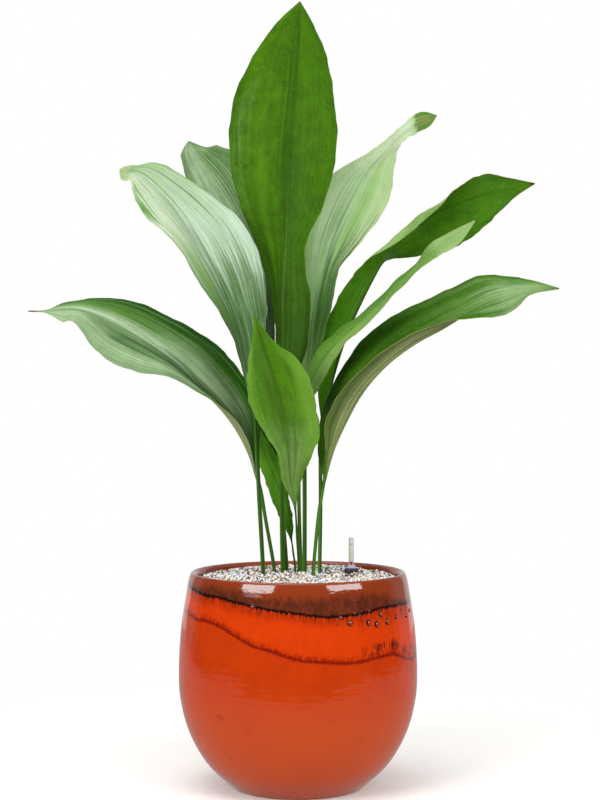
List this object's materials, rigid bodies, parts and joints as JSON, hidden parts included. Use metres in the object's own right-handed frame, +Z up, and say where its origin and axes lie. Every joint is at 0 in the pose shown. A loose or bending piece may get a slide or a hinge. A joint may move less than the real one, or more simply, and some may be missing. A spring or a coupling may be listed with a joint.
{
  "type": "potted cast iron plant",
  "caption": "Cast iron plant with arching strap leaves on slim stalks, in a round bellied glazed pot filled with mineral granules, with a water gauge.",
  "frame": {"origin": "middle of the pot's flat underside, on the floor", "axes": "+Z up, -Y towards the viewer of the picture, +X to the viewer's right"},
  "size_m": [0.5473, 0.252, 0.8394],
  "materials": {
    "glazed_clay": "glossy poured glaze, red brown at the rim and orange below",
    "mineral_granules": "dry mixed granules, cream, pale blue, tan and purple brown",
    "rootstock": "fibrous, damp",
    "leaf_deep_green": "leathery, ribbed, satin",
    "leaf_pale_gloss": "leathery, ribbed, with a pale sheen",
    "leaf_mid_green": "leathery, ribbed, satin",
    "gauge_dark_plastic": "moulded, dark purple black",
    "gauge_clear_plastic": "clear moulded plastic",
    "gauge_red_plastic": "moulded, orange red"
  },
  "bodies": {
    "planter": {"pot": "glazed_clay", "granules": "mineral_granules", "rhizome": "rootstock", "leaf_centre_tall": "leaf_deep_green", "leaf_left_high": "leaf_pale_gloss", "leaf_left_back": "leaf_pale_gloss", "leaf_left_low": "leaf_deep_green", "leaf_right_high": "leaf_pale_gloss", "leaf_right_folded": "leaf_deep_green", "leaf_right_narrow": "leaf_mid_green", "leaf_right_low": "leaf_deep_green", "leaf_front_small": "leaf_mid_green", "leaf_back_small": "leaf_deep_green", "gauge_housing": "gauge_dark_plastic", "gauge_sleeve": "gauge_clear_plastic"},
    "level_float": {"gauge_float": "gauge_red_plastic"}
  },
  "joints": [
    {"name": "float_rise", "type": "slide", "parent": "planter", "child": "level_float", "axis": [0, 0, 1], "range_m": [0, 0.022]}
  ]
}
